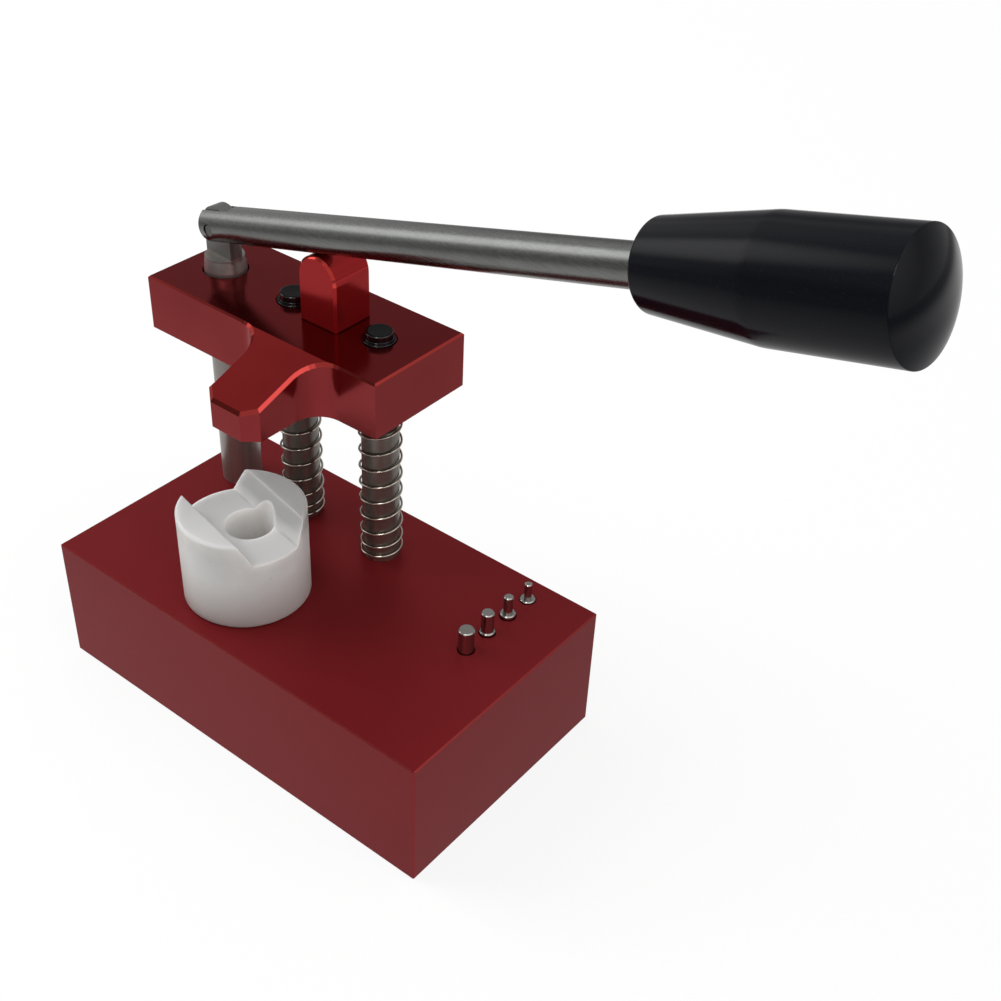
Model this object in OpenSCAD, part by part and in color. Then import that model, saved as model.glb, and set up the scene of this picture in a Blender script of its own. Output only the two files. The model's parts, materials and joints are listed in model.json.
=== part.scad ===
// Crown tube remover for watch cases: a small lever press on a heavy block.
// The origin is the centre of the block's underside, +Z is up, +X runs towards the handle
// and -Y is the front, where the nose of the press plate reaches over the case holder.
// All sizes are in millimetres.

/* [Base block] */
// Length of the base block, left to right
base_length = 100.5; // [90:0.5:140]
// Depth of the base block, front to back
base_depth = 57.6; // [54:0.1:90]
// Height of the base block
base_height = 30.3; // [26:0.1:50]
// Width of the bevel along the edges of the base block
base_bevel = 0.3; // [0.2:0.1:1.5]
// How deep the posts sit in the base block
post_seat_depth = 10; // [6:0.5:14]

/* [Press plate] */
// Thickness of the press plate
plate_thickness = 12.2; // [10:0.1:16]
// Depth of the press plate behind the nose, front to back
plate_depth = 26; // [22:0.5:28]
// From the lever post's axis to the left end of the plate
plate_left_end = 9.3; // [7.5:0.1:9.5]
// From the right guide post's axis to the right end of the plate
plate_right_end = 10.7; // [8:0.1:14]
// Width of the bevel along the upper edges of the plate's ends and wings
plate_bevel = 0.4; // [0.2:0.05:1]
// Height of the plate's underside above the base block at rest
plate_lift = 40.5; // [36:0.5:48]
// How far the plate can be pressed down
press_travel = 8; // [4:0.5:12]

/* [Nose] */
// How far the nose reaches in front of the plate
nose_reach = 17.3; // [14:0.1:20]
// Width of the nose
nose_width = 13.6; // [10:0.1:17]
// Radius of the hollow corners between nose and plate
nose_fillet = 6; // [3:0.5:8]
// Length of the cut on each corner of the nose tip, along the width
nose_corner_x = 2.9; // [1:0.1:4]
// Length of the cut on each corner of the nose tip, along the reach
nose_corner_y = 2.45; // [1:0.05:4]
// How far the sloping top of the nose drops from the plate to the tip
nose_drop = 6; // [3:0.1:7]
// Width of the bevel along the upper edges of the nose and its hollow corners
nose_bevel = 0.6; // [0.3:0.05:1]
// From the nose tip back to the axis of the pin socket
socket_inset = 4.5; // [3.5:0.1:7]
// Depth of the pin socket in the underside of the nose
socket_depth = 5.2; // [3:0.1:5.4]
// Radial clearance of an ejector pin in the socket
socket_clearance = 0.05; // [0.02:0.01:0.1]

/* [Guide posts] */
// Distance between the two guide posts
guide_spacing = 23.2; // [22:0.1:26]
// From the back face of the base block to the plane of the three posts
guide_inset = 13.8; // [13:0.1:20]
// Diameter of a guide post
guide_d = 7.9; // [7:0.1:8.5]
// Diameter of a guide post's upper journal, which carries the plate
journal_d = 5.5; // [5:0.1:6]
// Radial running clearance of a journal in the plate
journal_clearance = 0.05; // [0.02:0.01:0.1]
// Bevel on the guide post's shoulder
guide_bevel = 0.4; // [0.2:0.1:0.6]

/* [Guide caps] */
// Diameter of the cap's flange, which stops the plate at the top
cap_flange_d = 6.7; // [6.4:0.1:7.2]
// Thickness of the cap's flange
cap_flange_h = 0.9; // [0.6:0.1:1.4]
// Diameter of the cap's collar
cap_collar_d = 5.5; // [5:0.1:6]
// Height of the cap's collar
cap_collar_h = 0.7; // [0.4:0.1:1.2]
// Diameter of the groove between collar and head
cap_groove_d = 4.7; // [4:0.1:4.9]
// Height of the groove between collar and head
cap_groove_h = 0.25; // [0.15:0.05:0.5]
// Diameter of the cap's head
cap_head_d = 5.2; // [5:0.1:5.8]
// Height of the cap's head
cap_head_h = 0.85; // [0.7:0.05:1.4]
// Bevel around the top of the cap
cap_bevel = 0.3; // [0.1:0.05:0.5]
// Depth of the recess in the plate that takes the flange
cap_recess_depth = 0.8; // [0.4:0.1:1.5]
// Radial gap between the flange and its recess
cap_recess_gap = 0.32; // [0.2:0.02:0.5]
// Diameter of the cap's threaded stud
cap_stud_d = 3; // [2.5:0.1:3.5]
// Length of the cap's threaded stud
cap_stud_length = 6; // [4:0.5:9]

/* [Springs] */
// Diameter of the spring wire
wire_d = 0.5; // [0.4:0.05:0.6]
// Radial gap between a spring and its guide post
spring_gap = 0.08; // [0.05:0.01:0.2]
// Number of turns of each spring
spring_turns = 12; // [9:1:13]
// Number of turns over which the pitch closes up at each end
closing_turns = 2.86; // [2:0.01:3]
// Pitch of the wire at the very ends of a spring
end_pitch = 0.95; // [0.9:0.01:1.1]
// Gap between the end turns and the faces that they press on
spring_seat_gap = 0.05; // [0.02:0.01:0.1]
// Direction in which the left spring's wire starts, seen from above
left_spring_start = 109; // [0:1:360]
// Direction in which the right spring's wire starts, seen from above
right_spring_start = 349; // [0:1:360]

/* [Lever post] */
// From the left face of the base block to the lever post's axis
lever_post_inset = 10.05; // [9.4:0.05:14]
// From the lever post's axis to the middle between the guide posts
lever_post_to_press = 31.4; // [30:0.1:36]
// Diameter of the lever post
lever_post_d = 9; // [8:0.1:9.2]
// Radial gap between the lever post and the plate
lever_post_gap = 0.35; // [0.3:0.05:0.6]
// Diameter of the neck that the lever post's cone narrows to
neck_d = 8.3; // [8:0.1:8.6]
// Length of the cone between post and neck
neck_cone_length = 2.4; // [1:0.1:3]
// Height of the plain neck between the cone and the tongue
neck_length = 0.3; // [0.1:0.1:1]
// From the axis of the pivot pin down to the top of the neck
neck_drop = 6.3; // [6:0.1:7.2]
// Thickness of the tongue that carries the lever
tongue_thickness = 3; // [2.4:0.1:3.4]
// Radius of the tongue's rounded top
tongue_top_r = 4.2; // [3.5:0.1:4.3]
// How far the centre of the rounded top lies above the pivot pin
tongue_top_offset = 0.4; // [0:0.1:0.6]
// Height of the pivot pin above the top of the plate at rest
pivot_height = 9.6; // [9.5:0.1:12]

/* [Lever] */
// Angle of the lever above the horizontal at rest
lever_rise = 16.43; // [10:0.01:20]
// How far the lever is turned towards the front, seen from above
lever_turn = 4.5; // [0:0.1:6]
// Diameter of the lever rod
rod_d = 7.5; // [7:0.1:8]
// How far the rod's axis runs above the axis of the pivot pin
rod_offset = 0.4; // [0:0.1:0.6]
// From the pivot pin to the forked end of the rod
fork_end = 3.3; // [2.5:0.1:3.8]
// From the pivot pin to the bottom of the slot
slot_reach = 5.6; // [5:0.1:7]
// Gap between the tongue and each cheek of the fork
fork_gap = 0.2; // [0.1:0.05:0.4]
// Bevel around the forked end of the rod
rod_bevel = 0.4; // [0.3:0.1:1]
// From the pivot pin to the near end of the handle
handle_distance = 112.9; // [90:0.1:140]
// Diameter of the rod's threaded stud inside the handle
rod_stud_d = 6; // [5:0.1:6.5]
// Length of the rod's threaded stud
rod_stud_length = 14; // [10:0.5:16]
// Diameter of the pivot pin
pin_d = 2.7; // [2:0.1:3]
// Radial running clearance of the pivot pin
pin_clearance = 0.03; // [0.02:0.01:0.08]
// How far each end of the pivot pin lies below the rod's surface
pin_recess = 0.25; // [0.1:0.05:0.5]

/* [Handle] */
// Diameter of the handle at its near end
handle_near_d = 15; // [12:0.1:18]
// Diameter of the handle's thick part
handle_far_d = 19.6; // [18:0.1:24]
// Length of the handle's tapered part
handle_taper_length = 21.2; // [12:0.1:30]
// Length of the handle's straight part
handle_grip_length = 23.1; // [16:0.1:40]
// Height of the handle's domed end
handle_dome = 2.3; // [2:0.1:6]
// Radius around the handle's near end
handle_near_round = 0.7; // [0.4:0.1:1.5]
// Diameter of the threaded insert in the handle
insert_d = 10; // [9:0.1:11]
// Length of the threaded insert
insert_length = 16; // [15:0.5:18]

/* [Fulcrum block] */
// Width of the block that the lever presses on, left to right
fulcrum_width = 9.9; // [8:0.1:10]
// Depth of the block, front to back
fulcrum_depth = 10.1; // [9:0.1:11]
// How far the block stands left of the press axis
fulcrum_shift_x = 0.5; // [0:0.1:1]
// How far the block stands behind the plane of the posts
fulcrum_shift_y = 0.5; // [0:0.1:1]
// Bevel along the block's upright edges and around its end faces
fulcrum_bevel = 0.5; // [0.2:0.1:1]
// Bevel around the foot of the block
fulcrum_foot_bevel = 0.25; // [0.1:0.05:0.5]
// Gap between the rod and the block's rounded top
fulcrum_gap = 0.05; // [0.03:0.01:0.1]

/* [Screws] */
// Diameter of the screws' shanks
screw_d = 4; // [3:0.1:4.2]
// Diameter of the screws' heads
screw_head_d = 7; // [6.4:0.1:7.4]
// Height of the screws' heads
screw_head_h = 4; // [3:0.1:4.4]
// How far the screw heads lie below the face they are sunk in
screw_sink = 0.6; // [0.3:0.1:1]
// How far a post screw reaches into its post
post_screw_grip = 8; // [5:0.5:10]
// How far the block screw reaches into the fulcrum block
block_screw_grip = 6; // [4:0.5:7]
// Width across the corners of the socket in a screw head
screw_socket_d = 3.46; // [3:0.1:3.8]
// Depth of the socket in a screw head
screw_socket_depth = 2; // [1:0.1:2.4]
// Radial gap around a screw's shank and head where it passes freely
screw_gap = 0.3; // [0.2:0.05:0.5]
// Radial clearance of pieces that are fixed in their seats
seat_clearance = 0.02; // [0.01:0.01:0.05]

/* [Case holder] */
// Diameter of the case holder
holder_d = 26.2; // [24:0.1:29]
// Height of the case holder
holder_height = 20.9; // [16:0.1:24]
// How far the holder's bore stands left of the pin socket
holder_shift_x = 0.8; // [-2:0.1:2]
// Diameter of the holder's bore
holder_bore_d = 10.2; // [8:0.1:11]
// How far the bore lies behind the middle of the groove
holder_bore_offset = 1.5; // [0:0.1:2]
// Depth of the groove in the top of the holder
groove_depth = 5; // [4.2:0.1:7]
// Width of the groove at its floor
groove_floor_width = 10.2; // [9:0.1:12]
// Width of the groove at the top of the holder
groove_top_width = 15.2; // [13:0.1:17]
// How far the groove is turned from the long side of the base block
groove_turn = 12; // [0:1:30]
// Bevel around the holder's edges
holder_bevel = 0.4; // [0.2:0.1:1]

/* [Ejector pins] */
// From the right face of the base block to the row of ejector pins
pin_row_inset = 13.65; // [8:0.05:20]
// From the back face of the base block to the rear ejector pin
pin_back_inset = 5.95; // [4:0.05:9]
// Distance between neighbouring ejector pins
pin_pitch = 6.75; // [5.5:0.05:9]
// Diameter of the ejector pins' shanks
shank_d = 3.3; // [3:0.1:3.6]
// Radial gap between an ejector pin and its hole in the base block
shank_gap = 0.2; // [0.05:0.05:0.3]
// Depth of the ejector pins' holes in the base block
pin_hole_depth = 20; // [14:1:22]
// Height of the shank of pin 1, which has no thinner tip
shank_1_height = 25.4; // [24:0.1:30]
// Height of the shank of pin 2
shank_2_height = 20.7; // [20.4:0.1:24]
// Height of the shank of pin 3
shank_3_height = 20.9; // [20.4:0.1:24]
// Height of the shank of pin 4
shank_4_height = 20.4; // [20.4:0.1:24]
// Length of the tip of pin 2
tip_2_length = 4.7; // [3:0.1:7]
// Length of the tip of pin 3
tip_3_length = 4.3; // [3:0.1:7]
// Length of the tip of pin 4
tip_4_length = 3.9; // [3:0.1:7]
// Diameter of the tip of pin 2
tip_2_d = 2.7; // [2.4:0.1:2.9]
// Diameter of the tip of pin 3
tip_3_d = 1.95; // [1.6:0.05:2.3]
// Diameter of the tip of pin 4
tip_4_d = 1.6; // [1:0.05:1.8]
// Bevel on the ejector pins' edges
shank_bevel = 0.2; // [0.1:0.05:0.3]

/* [Hidden] */
$fn = 96;

// How far a cutting shape reaches past the faces that it opens
over = 1;
// Bevel on the screws' heads and ends
screw_bevel = 0.4;
// Depth of a tapped hole beyond the end of its screw
thread_spare = 1;
// Gap between the end of the rod's stud and the bottom of its hole
insert_end_gap = 0.5;

// Plan positions
lever_x = lever_post_inset - base_length / 2;
press_x = lever_x + lever_post_to_press;
guide_y = base_depth / 2 - guide_inset;
guide_left_x = press_x - guide_spacing / 2;
guide_right_x = press_x + guide_spacing / 2;
plate_left = lever_x - plate_left_end;
plate_right = guide_right_x + plate_right_end;
plate_front = guide_y - plate_depth / 2;
plate_back = guide_y + plate_depth / 2;
nose_left = press_x - nose_width / 2;
nose_right = press_x + nose_width / 2;
nose_tip = plate_front - nose_reach;
socket_y = nose_tip + socket_inset;
block_x = press_x - fulcrum_shift_x;
block_y = guide_y + fulcrum_shift_y;
pin_row_x = base_length / 2 - pin_row_inset;

// Heights
plate_bottom = base_height + plate_lift;
plate_top = plate_bottom + plate_thickness;
shoulder_z = plate_bottom - press_travel;
cap_seat_z = plate_top - cap_recess_depth;
post_floor = base_height - post_seat_depth;
pivot_z = plate_top + pivot_height;
neck_top = pivot_z - neck_drop;

// The slope of the nose's top, and its outward normal
slope = atan(nose_drop / nose_reach);
slope_normal = [0, -sin(slope), cos(slope)];
// Number of short bevel cuts around each hollow corner, and how far each laps over the next
fillet_steps = 8;
bevel_lap = 0.1;

// The rod's axis runs square across the block's rounded top, seen along Y
block_round = fulcrum_width / 2;
rod_slope = atan(tan(lever_rise) / cos(lever_turn));
block_round_z = pivot_z + (block_x - lever_x) * tan(rod_slope)
  - (rod_d / 2 - rod_offset + fulcrum_gap + block_round) / cos(rod_slope);

// Radii of holes
guide_seat_r = guide_d / 2 + seat_clearance;
journal_bore_r = journal_d / 2 + journal_clearance;
cap_recess_r = cap_flange_d / 2 + cap_recess_gap;
lever_seat_r = lever_post_d / 2 + seat_clearance;
lever_hole_r = lever_post_d / 2 + lever_post_gap;
socket_r = shank_d / 2 + socket_clearance;
shank_hole_r = shank_d / 2 + shank_gap;
pin_bore_r = pin_d / 2 + pin_clearance;

// Spring wire: its pitch grows steadily over the closing turns and is even between them
rings_per_turn = 8;
wire_sides = 6;
spring_r = (guide_d / 2 + spring_gap + wire_d / 2) / cos(180 / rings_per_turn);
spring_span = plate_lift - wire_d - 2 * spring_seat_gap;
full_pitch = (spring_span - closing_turns * end_pitch) / (spring_turns - closing_turns);
pitch_growth = (full_pitch - end_pitch) / closing_turns;
closing_rise = end_pitch * closing_turns + pitch_growth * pow(closing_turns, 2) / 2;
last_ring = spring_turns * rings_per_turn;

function end_rise(t) = end_pitch * t + pitch_growth * t * t / 2;
function rise(t) =
  t < closing_turns ? end_rise(t)
  : t > spring_turns - closing_turns ? spring_span - end_rise(spring_turns - t)
  : closing_rise + full_pitch * (t - closing_turns);
function pitch_at(t) =
  min(full_pitch, end_pitch + pitch_growth * min(t, spring_turns - t));
function wire_centre(t, start) =
  [spring_r * cos(start + 360 * t), spring_r * sin(start + 360 * t), rise(t)];
function wire_outward(t, start) = [cos(start + 360 * t), sin(start + 360 * t), 0];
function wire_lead(t) = atan(pitch_at(t) / (2 * PI * spring_r));
function wire_upward(t, start) =
  [sin(start + 360 * t) * sin(wire_lead(t)), -cos(start + 360 * t) * sin(wire_lead(t)),
    cos(wire_lead(t))];
function wire_ring(t, start) =
  [for (k = [0 : wire_sides - 1])
    let (a = (k + 0.5) * 360 / wire_sides)
    wire_centre(t, start)
      + wire_d / 2 * (cos(a) * wire_outward(t, start) + sin(a) * wire_upward(t, start))];
wire_gaps = [for (i = [0 : last_ring - rings_per_turn / 2], j = [i + rings_per_turn / 2 : last_ring])
  norm(wire_centre(i / rings_per_turn, 0) - wire_centre(j / rings_per_turn, 0)) - wire_d];
echo(least_gap_of_spring_wire_to_itself = min(wire_gaps));

// A box with all twelve edges bevelled, standing on z = 0
module bevelled_box(length, depth, height, bevel) {
  intersection() {
    linear_extrude(height) bevelled_square(length, depth, bevel);
    translate([0, depth / 2, height / 2])
      rotate([90, 0, 0])
        linear_extrude(depth) bevelled_square(length, height, bevel);
    translate([-length / 2, 0, height / 2])
      rotate([90, 0, 90])
        linear_extrude(length) bevelled_square(depth, height, bevel);
  }
}

// A centred rectangle with its corners cut off
module bevelled_square(width, height, bevel) {
  x = width / 2;
  y = height / 2;
  polygon([[bevel - x, -y], [x - bevel, -y], [x, bevel - y], [x, y - bevel],
    [x - bevel, y], [bevel - x, y], [-x, y - bevel], [-x, bevel - y]]);
}

// A round bar standing on z = 0 with a bevel at each end
module bevelled_bar(r, height, lower_bevel, upper_bevel) {
  rotate_extrude()
    polygon([[0, 0], [r - lower_bevel, 0], [r, lower_bevel], [r, height - upper_bevel],
      [r - upper_bevel, height], [0, height]]);
}

// Cuts a bevel along the straight edge from p to q between faces with the outward normals n and m
module bevel_cut(p, q, n, m, bevel, past) {
  along = (q - p) / norm(q - p);
  out = (n + m) / norm(n + m);
  side = cross(out, along);
  depth = bevel * norm(n - m) / 2;
  multmatrix([[along[0], side[0], out[0], p[0]], [along[1], side[1], out[1], p[1]],
      [along[2], side[2], out[2], p[2]], [0, 0, 0, 1]])
    translate([-past, -2 * bevel, -depth])
      cube([norm(q - p) + 2 * past, 4 * bevel, 3 * bevel]);
}

// A socket head screw whose head stands on z = 0 with its socket facing down
module socket_screw(grip) {
  difference() {
    union() {
      bevelled_bar(screw_head_d / 2, screw_head_h, screw_bevel, screw_bevel / 2);
      translate([0, 0, screw_head_h]) bevelled_bar(screw_d / 2, grip, 0, screw_bevel);
    }
    translate([0, 0, -over]) cylinder(h = screw_socket_depth + over, d = screw_socket_d, $fn = 6);
  }
}

// The room for a screw whose head is sunk into a face at z = 0, up to the height given
module screw_room(height) {
  translate([0, 0, -over])
    cylinder(h = screw_sink + screw_head_h + over, r = screw_head_d / 2 + screw_gap);
  cylinder(h = height, r = screw_d / 2 + screw_gap);
}

module base_block() {
  color([0.55, 0.04, 0.06])
  difference() {
    bevelled_box(base_length, base_depth, base_height, base_bevel);
    for (x = [guide_left_x, guide_right_x])
      translate([x, guide_y, post_floor]) cylinder(h = post_seat_depth + over, r = guide_seat_r);
    translate([lever_x, guide_y, post_floor]) cylinder(h = post_seat_depth + over, r = lever_seat_r);
    for (x = [guide_left_x, guide_right_x, lever_x])
      translate([x, guide_y, 0]) screw_room(post_floor + over);
    for (k = [0 : 3])
      translate([pin_row_x, pin_y(k), base_height - pin_hole_depth])
        cylinder(h = pin_hole_depth + over, r = shank_hole_r);
  }
}

// Guide post standing in its seat, with a tapped hole at each end
module guide_post(x) {
  color([0.42, 0.41, 0.39])
  translate([x, guide_y, 0])
  difference() {
    union() {
      translate([0, 0, post_floor])
        bevelled_bar(guide_d / 2, shoulder_z - post_floor, guide_bevel, guide_bevel);
      translate([0, 0, shoulder_z - over]) cylinder(h = cap_seat_z - shoulder_z + over, d = journal_d);
    }
    translate([0, 0, post_floor - over])
      cylinder(h = post_screw_grip + thread_spare + over, r = screw_d / 2 + seat_clearance);
    translate([0, 0, cap_seat_z - cap_stud_length - thread_spare])
      cylinder(h = cap_stud_length + thread_spare + over, r = cap_stud_d / 2 + seat_clearance);
  }
}

// Stepped cap that screws into the top of a guide post and holds the plate down
module guide_cap(x) {
  flange_top = cap_flange_h;
  collar_top = flange_top + cap_collar_h;
  groove_top = collar_top + cap_groove_h;
  head_top = groove_top + cap_head_h;
  color([0.05, 0.05, 0.055])
  translate([x, guide_y, cap_seat_z])
  rotate_extrude()
    polygon([[0, -cap_stud_length], [cap_stud_d / 2, -cap_stud_length], [cap_stud_d / 2, 0],
      [cap_flange_d / 2, 0], [cap_flange_d / 2, flange_top], [cap_collar_d / 2, flange_top],
      [cap_collar_d / 2, collar_top], [cap_groove_d / 2, collar_top],
      [cap_groove_d / 2, groove_top], [cap_head_d / 2, groove_top],
      [cap_head_d / 2, head_top - cap_bevel], [cap_head_d / 2 - cap_bevel, head_top], [0, head_top]]);
}

// Post with a cone and a flat tongue, which carries the lever's pivot
module lever_post() {
  color([0.5, 0.49, 0.47])
  translate([lever_x, guide_y, 0])
  rotate([0, 0, -lever_turn])
  difference() {
    union() {
      rotate_extrude()
        polygon([[0, post_floor], [lever_post_d / 2 - guide_bevel, post_floor],
          [lever_post_d / 2, post_floor + guide_bevel],
          [lever_post_d / 2, neck_top - neck_length - neck_cone_length],
          [neck_d / 2, neck_top - neck_length], [neck_d / 2, neck_top], [0, neck_top]]);
      intersection() {
        union() {
          translate([-neck_d / 2, -tongue_thickness / 2, neck_top - over])
            cube([neck_d, tongue_thickness, neck_drop + tongue_top_offset + over]);
          translate([0, tongue_thickness / 2, pivot_z + tongue_top_offset])
            rotate([90, 0, 0]) cylinder(h = tongue_thickness, r = tongue_top_r);
        }
        translate([0, 0, neck_top - over])
          cylinder(h = neck_drop + tongue_top_offset + tongue_top_r + 2 * over, r = tongue_top_r);
      }
    }
    translate([0, tongue_thickness / 2 + over, pivot_z])
      rotate([90, 0, 0]) cylinder(h = tongue_thickness + 2 * over, r = pin_bore_r);
    translate([0, 0, post_floor - over])
      cylinder(h = post_screw_grip + thread_spare + over, r = screw_d / 2 + seat_clearance);
  }
}

// The three screws that hold the posts from below
module post_screws() {
  color([0.12, 0.12, 0.13])
  for (x = [guide_left_x, guide_right_x, lever_x])
    translate([x, guide_y, screw_sink])
      socket_screw(post_floor + post_screw_grip - screw_sink - screw_head_h);
}

// Wound compression spring between base block and plate, as one unbroken tube
module spring(x, start) {
  points = [for (i = [0 : last_ring]) each wire_ring(i / rings_per_turn, start)];
  sides = [for (i = [0 : last_ring - 1], k = [0 : wire_sides - 1])
    let (a = i * wire_sides + k, b = i * wire_sides + (k + 1) % wire_sides)
    each [[a, a + wire_sides, b], [b, a + wire_sides, b + wire_sides]]];
  first_end = [for (k = [1 : wire_sides - 2]) [0, k, k + 1]];
  last = last_ring * wire_sides;
  last_end = [for (k = [1 : wire_sides - 2]) [last, last + k + 1, last + k]];
  color([0.72, 0.72, 0.7])
  translate([x, guide_y, base_height + spring_seat_gap + wire_d / 2])
    polyhedron(points, concat(sides, first_end, last_end));
}

// Plan of the plate with its nose
module plate_outline() {
  difference() {
    union() {
      translate([plate_left, plate_front]) square([plate_right - plate_left, plate_depth]);
      polygon([[nose_left - nose_fillet, plate_front + over], [nose_left - nose_fillet, plate_front],
        [nose_left, plate_front - nose_fillet], [nose_left, nose_tip + nose_corner_y],
        [nose_left + nose_corner_x, nose_tip], [nose_right - nose_corner_x, nose_tip],
        [nose_right, nose_tip + nose_corner_y], [nose_right, plate_front - nose_fillet],
        [nose_right + nose_fillet, plate_front], [nose_right + nose_fillet, plate_front + over]]);
    }
    for (x = [nose_left - nose_fillet, nose_right + nose_fillet])
      translate([x, plate_front - nose_fillet]) circle(r = nose_fillet);
  }
}

// Height of the nose's sloping top at a given y
function nose_z(y) = plate_top - (plate_front - y) * tan(slope);

// Bevel along the upper edges of the nose's right side, mirrored for the left side
module nose_side_bevel(past) {
  tip_x = nose_width / 2 - nose_corner_x;
  side_x = nose_width / 2;
  corner_y = nose_tip + nose_corner_y;
  corner_n = [nose_corner_y, -nose_corner_x, 0] / norm([nose_corner_y, nose_corner_x]);
  fillet_x = side_x + nose_fillet;
  fillet_y = plate_front - nose_fillet;
  bevel_cut([tip_x, nose_tip, nose_z(nose_tip)], [side_x, corner_y, nose_z(corner_y)],
    corner_n, slope_normal, nose_bevel, past);
  bevel_cut([side_x, corner_y, nose_z(corner_y)], [side_x, fillet_y, nose_z(fillet_y)],
    [1, 0, 0], slope_normal, nose_bevel, bevel_lap);
  for (k = [0 : fillet_steps - 1]) {
    a = 180 - 90 * k / fillet_steps;
    b = 180 - 90 * (k + 1) / fillet_steps;
    m = (a + b) / 2;
    p = [fillet_x + nose_fillet * cos(a), fillet_y + nose_fillet * sin(a)];
    q = [fillet_x + nose_fillet * cos(b), fillet_y + nose_fillet * sin(b)];
    bevel_cut([p[0], p[1], nose_z(p[1])], [q[0], q[1], nose_z(q[1])],
      [-cos(m), -sin(m), 0], slope_normal, nose_bevel, bevel_lap);
  }
}

// All bevels along the plate's upper edges
module plate_bevels() {
  past = plate_bevel;
  z = plate_top;
  up = [0, 0, 1];
  bevel_cut([plate_left, plate_back, z], [plate_right, plate_back, z], [0, 1, 0], up, plate_bevel, past);
  bevel_cut([plate_left, plate_front, z], [plate_left, plate_back, z], [-1, 0, 0], up,
    plate_bevel, past);
  bevel_cut([plate_right, plate_front, z], [plate_right, plate_back, z], [1, 0, 0], up,
    plate_bevel, past);
  bevel_cut([plate_left - past, plate_front, z], [nose_left - nose_fillet, plate_front, z],
    [0, -1, 0], up, plate_bevel, bevel_lap);
  bevel_cut([nose_right + nose_fillet, plate_front, z], [plate_right + past, plate_front, z],
    [0, -1, 0], up, plate_bevel, bevel_lap);
  bevel_cut([nose_left + nose_corner_x, nose_tip, nose_z(nose_tip)],
    [nose_right - nose_corner_x, nose_tip, nose_z(nose_tip)], [0, -1, 0], slope_normal,
    nose_bevel, nose_bevel);
  translate([press_x, 0, 0]) nose_side_bevel(nose_bevel);
  translate([press_x, 0, 0]) mirror([1, 0, 0]) nose_side_bevel(nose_bevel);
}

module press_plate() {
  color([0.62, 0.05, 0.06])
  difference() {
    translate([0, 0, plate_bottom]) linear_extrude(plate_thickness) plate_outline();
    translate([nose_left - nose_fillet - over, plate_front, plate_top])
      rotate([slope, 0, 0])
        translate([0, -2 * nose_reach, 0])
          cube([nose_width + 2 * nose_fillet + 2 * over, 2 * nose_reach, plate_thickness]);
    plate_bevels();
    for (x = [guide_left_x, guide_right_x])
      translate([x, guide_y, 0]) {
        translate([0, 0, plate_bottom - over])
          cylinder(h = plate_thickness + over, r = journal_bore_r);
        translate([0, 0, cap_seat_z]) cylinder(h = cap_recess_depth + over, r = cap_recess_r);
      }
    translate([lever_x, guide_y, plate_bottom - over])
      cylinder(h = plate_thickness + 2 * over, r = lever_hole_r);
    translate([press_x, socket_y, plate_bottom - over]) cylinder(h = socket_depth + over, r = socket_r);
    translate([block_x, block_y, plate_bottom]) screw_room(plate_thickness + over);
  }
}

// Section of the block's lower part, with its foot bevelled
module foot_profile(width, height) {
  x = width / 2;
  foot = fulcrum_foot_bevel;
  polygon([[foot - x, 0], [x - foot, 0], [x, foot], [x, height], [-x, height], [-x, foot]]);
}

// Lower part of the fulcrum block, with bevelled upright edges and a bevelled foot
module fulcrum_stand(height) {
  intersection() {
    linear_extrude(height) bevelled_square(fulcrum_width, fulcrum_depth, fulcrum_bevel);
    translate([0, fulcrum_depth / 2, 0])
      rotate([90, 0, 0]) linear_extrude(fulcrum_depth) foot_profile(fulcrum_width, height);
    translate([-fulcrum_width / 2, 0, 0])
      rotate([90, 0, 90]) linear_extrude(fulcrum_width) foot_profile(fulcrum_depth, height);
  }
}

// Block with a full round top that the lever rod presses on
module fulcrum_block() {
  color([0.75, 0.07, 0.06])
  translate([block_x, block_y, 0])
  difference() {
    union() {
      translate([0, 0, plate_top]) fulcrum_stand(block_round_z - plate_top);
      translate([0, fulcrum_depth / 2, block_round_z])
        rotate([90, 0, 0]) bevelled_bar(block_round, fulcrum_depth, fulcrum_bevel, fulcrum_bevel);
    }
    translate([0, 0, plate_top - over])
      cylinder(h = block_screw_grip + thread_spare + over, r = screw_d / 2 + seat_clearance);
  }
}

// The screw that holds the fulcrum block from below the plate
module block_screw() {
  color([0.12, 0.12, 0.13])
  translate([block_x, block_y, plate_bottom + screw_sink])
    socket_screw(plate_thickness + block_screw_grip - screw_sink - screw_head_h);
}

// Places a shape drawn along Z from the origin along the lever, starting at the pivot pin
module on_lever() {
  translate([lever_x, guide_y, pivot_z])
    rotate([0, 0, -lever_turn])
      rotate([0, 90 - lever_rise, 0])
        children();
}

// Places a shape drawn along Z on the rod's axis, which runs a little above the pivot pin
module on_rod() {
  on_lever() translate([-rod_offset, 0, 0]) children();
}

// Rod with a slotted end over the tongue and a threaded stud in the handle
module lever_rod() {
  slot_width = tongue_thickness + 2 * fork_gap;
  color([0.5, 0.49, 0.47])
  on_rod()
  difference() {
    union() {
      translate([0, 0, -fork_end]) bevelled_bar(rod_d / 2, fork_end + handle_distance, rod_bevel, 0);
      translate([0, 0, handle_distance]) bevelled_bar(rod_stud_d / 2, rod_stud_length, 0, rod_bevel);
    }
    translate([-rod_d, -slot_width / 2, -fork_end - over])
      cube([2 * rod_d, slot_width, fork_end + slot_reach + over]);
    translate([rod_offset, rod_d, 0]) rotate([90, 0, 0]) cylinder(h = 2 * rod_d, r = pin_bore_r);
  }
}

// Pin through the tongue and both cheeks of the fork
module pivot_pin() {
  pin_length = rod_d - 2 * pin_recess;
  color([0.45, 0.44, 0.42])
  on_lever()
  translate([0, pin_length / 2, 0])
    rotate([90, 0, 0]) bevelled_bar(pin_d / 2, pin_length, shank_bevel, shank_bevel);
}

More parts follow.
